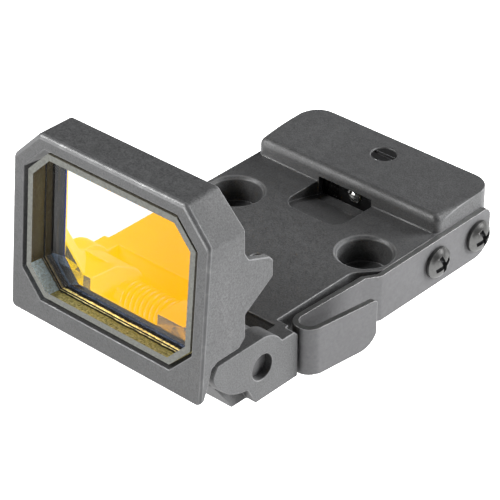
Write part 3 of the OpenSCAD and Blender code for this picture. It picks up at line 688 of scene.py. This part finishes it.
def stand(obj, body, *nodes, slot=None):
    """Lets obj ride on a body in place of CAD nodes."""
    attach(obj, body)
    if nodes:
        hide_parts(*nodes)
    return obj


def keep(node, material, size=0.0):
    """Keeps a CAD node, with a material and a small round on its edges."""
    obj = NODES[node]
    dress(obj, material)
    if size:
        mod = obj.modifiers.new("weld", "WELD")
        mod.merge_threshold = MERGE
        mod = obj.modifiers.new("edge", "BEVEL")
        mod.width = size
        mod.segments = 2
        mod.limit_method = "ANGLE"
        mod.angle_limit = math.radians(40.0)
        mod.harden_normals = True
    return obj


# ---------------------------------------------------------------- pieces

class RDF_OT_housing(bpy.types.Operator):
    """Makes the black frame that holds the lens"""
    bl_idname = "rdf.housing"
    bl_label = "Lens housing"

    def execute(self, context):
        s = context.scene.rdf_housing
        obj = merged_copy("housing_shell", "lens_housing")
        low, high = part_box("lens_housing")
        corner = high.x + high.z - s.corner_cut

        def front(p):
            return abs((p - FOOT).dot(DEPTH)) < 3 * NEAR

        def outer(p):
            return (abs(p.x) > high.x - s.side_band or p.z > high.z - s.top_band
                    or abs(p.x) + p.z > corner - s.corner_band or p.z < FOOT.z + s.side_band)

        pick_faces(obj, lambda face: all(front(obj.data.vertices[i].co) for i in face.vertices))
        bpy.ops.mesh.inset(thickness=s.collar, use_boundary=True, use_even_offset=True)
        bpy.ops.object.mode_set(mode="OBJECT")
        # Slot 1, the lighter finish on the bevels, is wear with a painted highlight.
        dress(obj, "anodised", "edge")
        soften(obj, s.edge_round, 4, 32.0, 1, s.front_round, lambda a, b: front(a) and front(b)
               and outer(a) and outer(b) and outer((a + b) / 2))
        stand(obj, "housing", "lens_housing", slot="anodised_black")
        obj.visible_glossy = False
        return {"FINISHED"}


class RDF_OT_lens(bpy.types.Operator):
    """Makes the front glass, the cement line and the coated rear glass"""
    bl_idname = "rdf.lens"
    bl_label = "Lens"

    def prism(self, name, s, depth0, depth1):
        """An eight-sided block of glass between two depths, in the lens plane."""
        bpy.ops.object.select_all(action="DESELECT")
        mid = (s.low + s.high) / 2
        centre = FOOT + Vector((0.0, (depth0 + depth1) / 2, mid))
        bpy.ops.mesh.primitive_cube_add(size=1.0, location=centre)
        obj = bpy.context.object
        obj.name = name
        obj.scale = (s.width, depth1 - depth0, s.high - s.low)
        bpy.ops.object.transform_apply(location=True, rotation=False, scale=True)
        half = s.width / 2 - 10 * NEAR
        round_picked(obj, lambda a, b: abs(a.x) > half and abs(b.x) > half
                     and abs(a.z - b.z) < 10 * NEAR and abs(a.y - b.y) > NEAR, s.cut, 1)
        return obj

    def inset_face(self, obj, y, width):
        """Insets the whole face that stands at y, and leaves the inner one selected."""
        pick_faces(obj, lambda face: abs(face.center.y - y) < 1e-6 and abs(face.normal.y) > 0.9)
        bpy.ops.mesh.inset(thickness=width)
        bpy.ops.object.mode_set(mode="OBJECT")

    def side_slot(self, normal):
        """The front glass's slot for one of its narrow sides."""
        if normal.z < -0.3:
            return 4 if normal.x < -0.3 else 3
        return 2

    def lean(self, obj):
        """Turns an upright piece into the leaning lens plane."""
        only(obj)
        bpy.ops.object.mode_set(mode="EDIT")
        bpy.ops.mesh.select_all(action="SELECT")
        bpy.ops.mesh.normals_make_consistent(inside=False)
        bpy.ops.transform.rotate(value=LEAN, orient_axis="X", center_override=FOOT)
        bpy.ops.object.mode_set(mode="OBJECT")

    def execute(self, context):
        s = context.scene.rdf_lens
        d0 = s.recess
        d1 = d0 + s.front_t
        d2 = d1 + s.bond_t
        d3 = d2 + s.rear_t
        mid = FOOT.z + (s.low + s.high) / 2

        front = self.prism("front_glass", s, d0, d1)
        self.inset_face(front, FOOT.y + d0, s.ring)
        dress(front, "pane", "ring", "wall", "sill", "facet")
        for face in front.data.polygons:
            nrm = face.normal
            if abs(nrm.y) < 0.1:
                face.material_index = self.side_slot(nrm)
            elif abs(face.center.y - FOOT.y - d0) < 1e-6 and not face.select:
                face.material_index = 1
        self.lean(front)
        stand(front, "housing", "front_lens", slot="front_glass")
        front.visible_glossy = False

        bond = self.prism("cement_line", s, d1, d2)
        pick_faces(bond, lambda face: abs(face.normal.y) > 0.9)
        bpy.ops.mesh.inset(thickness=s.bead, use_individual=True)
        bpy.ops.mesh.delete(type="FACE")
        bpy.ops.object.mode_set(mode="OBJECT")
        dress(bond, "cement")
        self.lean(bond)
        stand(bond, "housing", "lens_bond", slot="black_cement")
        bond.visible_glossy = False

        rear = self.prism("coated_glass", s, d2, d3)
        y3 = FOOT.y + d3
        first = s.step
        self.inset_face(rear, y3, first)
        bpy.ops.object.mode_set(mode="EDIT")
        half = s.width / 2 - first
        tall = (s.high - s.low) / 2 - first
        narrow = (half - (s.mask_side - first)) / half
        short = (tall - (s.mask_low - first) / 2) / tall
        bpy.ops.transform.resize(value=(narrow, 1.0, short),
                                 center_override=(0.0, y3, FOOT.z + s.high - first))
        bpy.ops.object.mode_set(mode="OBJECT")
        dress(rear, "pane", "wall", "sill", "facet", "mask", "umber", "cement", "fringe", "coating")
        # On the rear face, the left border takes the dark material with its painted bands of light.
        for face in rear.data.polygons:
            c, nrm = face.center, face.normal
            if abs(nrm.y) < 0.1:
                face.material_index = self.side_slot(nrm) - 1
            elif abs(c.y - y3) < 1e-6:
                if face.select:
                    face.material_index = 8
                elif c.x < -s.width * 0.4 and abs(c.z - mid) < 0.002:
                    face.material_index = 4
                elif c.x < -s.width * 0.25 and c.z < mid:
                    face.material_index = 3
                else:
                    face.material_index = 5 if c.z < mid - 0.005 else 6
        only(rear)
        bpy.ops.object.mode_set(mode="EDIT")
        bpy.ops.mesh.inset(thickness=s.fringe)
        bpy.ops.object.mode_set(mode="OBJECT")
        # The outer ring of the coated face becomes the fringe line, pink at the right as a painted
        # highlight.
        for face in rear.data.polygons:
            if face.material_index == 8 and not face.select:
                face.material_index = 7
        self.lean(rear)
        stand(rear, "housing", "rear_lens", slot="coated_glass")
        rear.visible_glossy = False
        return {"FINISHED"}


class RDF_OT_base(bpy.types.Operator):
    """Makes the base with its block, its ears and its screw seats"""
    bl_idname = "rdf.base"
    bl_label = "Base"

    def execute(self, context):
        s = context.scene.rdf_base
        obj = merged_copy("base_shell", "base_body")

        def on_top(p):
            return p.z > BLOCK_TOP - NEAR

        def at_foot(p):
            return abs(p.z - DECK) < NEAR and abs(p.y - BLOCK_FRONT) < NEAR

        def at_front(p):
            return on_top(p) and p.y < BLOCK_FRONT + s.block_reach

        def at_seat(p):
            return on_top(p) and (p.xy - SEAT).length < s.seat_reach

        round_picked(obj, lambda a, b: at_front(a) and at_front(b), s.block_round, 6)
        round_picked(obj, lambda a, b: at_foot(a) and at_foot(b), s.foot_fillet, 3)
        round_picked(obj, lambda a, b: at_seat(a) and at_seat(b), s.seat_round, 3)
        # Slot 1, the lighter finish on the bevels, is wear with a painted highlight.
        dress(obj, "anodised", "edge")
        soften(obj, s.edge_round, 2, 32.0, 1, s.edge_round, lambda a, b: False,
               lambda a, b: min(a.z, b.z) > BLOCK_TOP - s.top_band)
        stand(obj, "base", "base_body", slot="anodised_black")
        cap = merged_copy("battery_cap_skin", "battery_cap")
        # Slot 1, the lighter finish on the bevels, is wear with a painted highlight.
        dress(cap, "anodised", "edge")
        soften(cap, s.cap_round, 2, 32.0, 1)
        stand(cap, "cap", "battery_cap", slot="anodised_black")
        keep("bottom_cover", "anodised")
        return {"FINISHED"}


class RDF_OT_latch(bpy.types.Operator):
    """Makes the bent spring latch from one sheet"""
    bl_idname = "rdf.latch"
    bl_label = "Spring latch"

    def weld(self, obj, plate_end, arm_end):
        """Joins the plate's end face to the arm's, so that the sheet runs through."""
        middle = (plate_end + arm_end) / 2
        reach = abs(plate_end - arm_end) / 2 + NEAR
        verts = obj.data.vertices
        pick_faces(obj, lambda face: all(abs(verts[i].co.y - middle) < reach for i in face.vertices))
        bpy.ops.mesh.delete(type="ONLY_FACE")
        bpy.ops.object.mode_set(mode="OBJECT")
        pick_verts(obj, lambda v: abs(v.co.y - middle) < reach)
        bpy.ops.mesh.remove_doubles(threshold=2.2 * reach)
        bpy.ops.object.mode_set(mode="OBJECT")

    def execute(self, context):
        s = context.scene.rdf_latch
        obj = merged_copy("latch_sheet", "latch_plate", "latch_arm")
        self.weld(obj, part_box("latch_plate")[0].y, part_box("latch_arm")[1].y)
        dress(obj, "sheet", "sheared")
        # Faces that look up or down, the sheared edges, take the bright slot: bare metal and a painted
        # rim highlight. The burr bevels get it too.
        paint(obj, 1, lambda c, nrm: abs(nrm.z) > 0.5)
        soften(obj, s.burr, 2, 40.0, 1)
        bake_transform(obj)
        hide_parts("latch_plate", "latch_arm")
        return {"FINISHED"}


class RDF_OT_springs(bpy.types.Operator):
    """Winds the return spring and its arm from round wire"""
    bl_idname = "rdf.springs"
    bl_label = "Springs"

    def execute(self, context):
        settings = context.scene.rdf_spring
        for node, body in (("torsion_spring", "base"), ("spring_arm", "housing")):
            obj = merged_copy(node + "_wire", node)
            dress(obj, "wire")
            only(obj)
            mod = obj.modifiers.new("round", "SUBSURF")
            mod.levels = settings.smooth
            mod.render_levels = settings.smooth
            bpy.ops.object.modifier_apply(modifier=mod.name)
            bpy.ops.object.shade_smooth()
            stand(obj, body, node, slot="spring_wire")
        keep("elevation_spring", "wire")
        keep("windage_spring", "wire")
        return {"FINISHED"}


class RDF_OT_screws(bpy.types.Operator):
    """Makes the screws, the clips and the hinge pin"""
    bl_idname = "rdf.screws"
    bl_label = "Screws and pin"

    def paint_slot_shade(self, s, obj, node):
        """Paints the driver slot in the outer end of an adjuster screw with the dark recess colour, as
        painted shade.
        """
        low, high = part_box(node)
        upright = node.startswith("elevation")
        middle = (low + high) / 2
        for face in obj.data.polygons:
            c = face.center
            deep = high.z - c.z if upright else c.x - low.x
            off = c - middle
            aside = math.hypot(off.x, off.y) if upright else math.hypot(off.y, off.z)
            if s.slot_lip < deep < s.slot_depth and aside < s.slot_reach:
                face.material_index = 1

    def execute(self, context):
        s = context.scene.rdf_screw
        heads = merged_copy("latch_screw_heads", "latch_screws")
        low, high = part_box("latch_screws")
        dress(heads, "nickel", "recess")
        # Faces of the cross recess take the dark slot: painted shade.
        for face in heads.data.polygons:
            c, nrm = face.center, face.normal
            r = min(math.hypot(c.y - y, c.z - z) for y, z in LATCH_SCREWS)
            inner = r < s.recess_reach and c.x > low.x + s.shank
            if inner and (abs(nrm.x) < 0.5 or c.x < high.x - s.recess_depth):
                face.material_index = 1
        soften(heads, s.edge_round, 2, 32.0)
        stand(heads, "base", "latch_screws", slot="screw_steel")

        for node, body, material, slot in (
            ("elevation_screw", "elevation_adjuster", "oxide", "blackened_steel"),
            ("windage_screw", "windage_adjuster", "oxide", "blackened_steel"),
            ("contact_screw", "base", "nickel", "screw_steel"),
            ("cover_screws", "base", "nickel", "screw_steel"),
        ):
            obj = merged_copy(node + "_turned", node)
            dress(obj, material, "recess")
            if material == "oxide":
                self.paint_slot_shade(s, obj, node)
            soften(obj, s.edge_round, 2, 32.0)
            stand(obj, body, node, slot=slot)
        keep("hinge_pin", "sheet")
        keep("elevation_clip", "cell")
        keep("windage_clip", "cell")
        return {"FINISHED"}


class RDF_OT_insides(bpy.types.Operator):
    """Finishes the battery, the board and the emitter"""
    bl_idname = "rdf.insides"
    bl_label = "Insides"

    def dome(self, s):
        """Half a flattened sphere with a rim, on the front of the emitter."""
        low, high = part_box("led_emitter")
        centre = Vector((low.x / 2 + high.x / 2, low.y, low.z / 2 + high.z / 2))
        bpy.ops.object.select_all(action="DESELECT")
        bpy.ops.mesh.primitive_uv_sphere_add(segments=40, ring_count=20, radius=s.dome_radius,
                                             location=centre, rotation=(math.pi / 2, 0.0, 0.0))
        obj = bpy.context.object
        obj.name = "led_dome"
        obj.scale = (1.0, 1.0, s.dome_flat)
        bpy.ops.object.transform_apply(location=True, rotation=True, scale=True)
        pick_verts(obj, lambda v: v.co.y > low.y + NEAR / 2)
        bpy.ops.mesh.delete(type="VERT")
        bpy.ops.mesh.select_all(action="SELECT")
        bpy.ops.mesh.region_to_loop()
        bpy.ops.mesh.extrude_edges_move()
        bpy.ops.transform.resize(value=(s.rim, 1.0, s.rim), center_override=centre)
        bpy.ops.mesh.extrude_edges_move(TRANSFORM_OT_translate={"value": (0.0, s.rim_depth, 0.0)})
        bpy.ops.mesh.select_all(action="SELECT")
        bpy.ops.mesh.normals_make_consistent(inside=False)
        bpy.ops.object.mode_set(mode="OBJECT")
        bpy.ops.object.shade_smooth_by_angle(angle=math.radians(40.0))
        dress(obj, "bead")
        stand(obj, "emitter", slot="led_ceramic")

    def execute(self, context):
        for node, material, size in (
            ("cover_gasket", "rubber", 0.0), ("cap_oring", "rubber", 0.0),
            ("coin_cell", "cell", 0.0001), ("positive_contact", "brass", 0.0),
            ("negative_contact", "brass", 0.0), ("fold_switch", "brass", 0.0),
            ("circuit_board", "board", 0.00004), ("driver_chip", "chip", 0.00005),
            # The carriage and holder behind the window take the dark slider colour, painted shade.
            ("flex_cable", "ribbon", 0.0), ("elevation_carriage", "slider", 0.00008),
            ("emitter_holder", "slider", 0.00006), ("led_emitter", "ceramic", 0.00002),
            ("emitter_window", "pane", 0.00004),
        ):
            keep(node, material, size)
        self.dome(context.scene.rdf_inside)
        return {"FINISHED"}


# Name, direction, distance and side in metres, power in watts, and whether reflections show it
LAMPS = (
    ("front_box", (-0.30, -0.95, 0.10), 0.45, 0.22, 2.1, True),
    ("right_box", (0.60, 0.78, 0.10), 0.45, 0.22, 13.0, False),
    ("band_box", (-0.56, -0.52, 0.62), 0.5, 0.18, 2.2, True),
    ("corner_box", (0.54, 0.62, 0.56), 0.5, 0.16, 1.15, True),
)
LAMP_AIM = Vector((0.0, -0.005, 0.008))


class RDF_OT_stage(bpy.types.Operator):
    """Sets the camera, the lights and the floor"""
    bl_idname = "rdf.stage"
    bl_label = "Stage"

    def lamp(self, name, toward, distance, side, power, mirrored):
        """A square softbox that stands in the direction toward and faces LAMP_AIM."""
        direction = Vector(toward).normalized()
        bpy.ops.object.light_add(type="AREA", location=LAMP_AIM + direction * distance)
        lamp = bpy.context.object
        lamp.name = name
        lamp.data.shape = "SQUARE"
        lamp.data.size = side
        lamp.data.energy = power
        lamp.rotation_euler = (-direction).to_track_quat("-Z", "Y").to_euler()
        lamp.visible_glossy = mirrored
        return lamp

    def studio(self, ambient):
        """White surroundings: dim as a light, plain white where the camera sees them."""
        world = bpy.data.worlds.new("studio")
        bpy.context.scene.world = world
        world.use_nodes = True
        tree = world.node_tree
        tree.nodes.clear()
        out = tree.nodes.new("ShaderNodeOutputWorld")
        back = tree.nodes.new("ShaderNodeBackground")
        path = tree.nodes.new("ShaderNodeLightPath")
        level = tree.nodes.new("ShaderNodeMapRange")
        level.inputs["To Min"].default_value = ambient
        level.inputs["To Max"].default_value = 1.0
        tree.links.new(path.outputs["Is Camera Ray"], level.inputs["Value"])
        tree.links.new(level.outputs["Result"], back.inputs["Strength"])
        back.inputs["Color"].default_value = (1.0, 1.0, 1.0, 1.0)
        tree.links.new(back.outputs[0], out.inputs["Surface"])

    def execute(self, context):
        s = context.scene.rdf_stage
        bpy.ops.object.camera_add(location=s.place, rotation=(math.pi / 2 - s.tilt, 0.0, s.turn))
        camera = bpy.context.object
        camera.name = "camera"
        camera.data.sensor_width = 36.0
        camera.data.lens = s.focal
        camera.data.clip_start = 0.01
        camera.data.clip_end = 10.0
        bpy.context.scene.camera = camera

        bpy.ops.mesh.primitive_plane_add(size=3.0, location=(0.0, 0.0, -s.drop))
        floor = bpy.context.object
        floor.name = "floor"
        floor.data.materials.append(floor_paper())

        lamps = [self.lamp(*lamp) for lamp in LAMPS]

        self.studio(s.ambient)
        bpy.context.scene.view_settings.view_transform = "Standard"
        return {"FINISHED"}


class RDF_PT_panel(bpy.types.Panel):
    """Buttons and sizes for each piece"""
    bl_label = "Red dot finder"
    bl_idname = "RDF_PT_panel"
    bl_space_type = "VIEW_3D"
    bl_region_type = "UI"
    bl_category = "Finder"

    def draw(self, context):
        for operator, group in PIECES:
            box = self.layout.box()
            box.operator(operator.bl_idname)
            settings = getattr(context.scene, group)
            for key in settings.__annotations__:
                box.prop(settings, key)


PIECES = (
    (RDF_OT_housing, "rdf_housing"),
    (RDF_OT_lens, "rdf_lens"),
    (RDF_OT_base, "rdf_base"),
    (RDF_OT_latch, "rdf_latch"),
    (RDF_OT_springs, "rdf_spring"),
    (RDF_OT_screws, "rdf_screw"),
    (RDF_OT_insides, "rdf_inside"),
    (RDF_OT_stage, "rdf_stage"),
)


def register():
    for name, group in GROUPS:
        bpy.utils.register_class(group)
        setattr(bpy.types.Scene, name, bpy.props.PointerProperty(type=group))
    for operator, _ in PIECES:
        bpy.utils.register_class(operator)
    bpy.utils.register_class(RDF_PT_panel)


def unregister():
    bpy.utils.unregister_class(RDF_PT_panel)
    for operator, _ in reversed(PIECES):
        bpy.utils.unregister_class(operator)
    for name, group in reversed(GROUPS):
        delattr(bpy.types.Scene, name)
        bpy.utils.unregister_class(group)


def main():
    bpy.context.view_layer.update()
    register()
    make_materials()
    bpy.ops.rdf.housing()
    bpy.ops.rdf.lens()
    bpy.ops.rdf.base()
    bpy.ops.rdf.latch()
    bpy.ops.rdf.springs()
    bpy.ops.rdf.screws()
    bpy.ops.rdf.insides()
    bpy.ops.rdf.stage()
    bpy.ops.object.select_all(action="DESELECT")


if __name__ == "__main__":
    main()
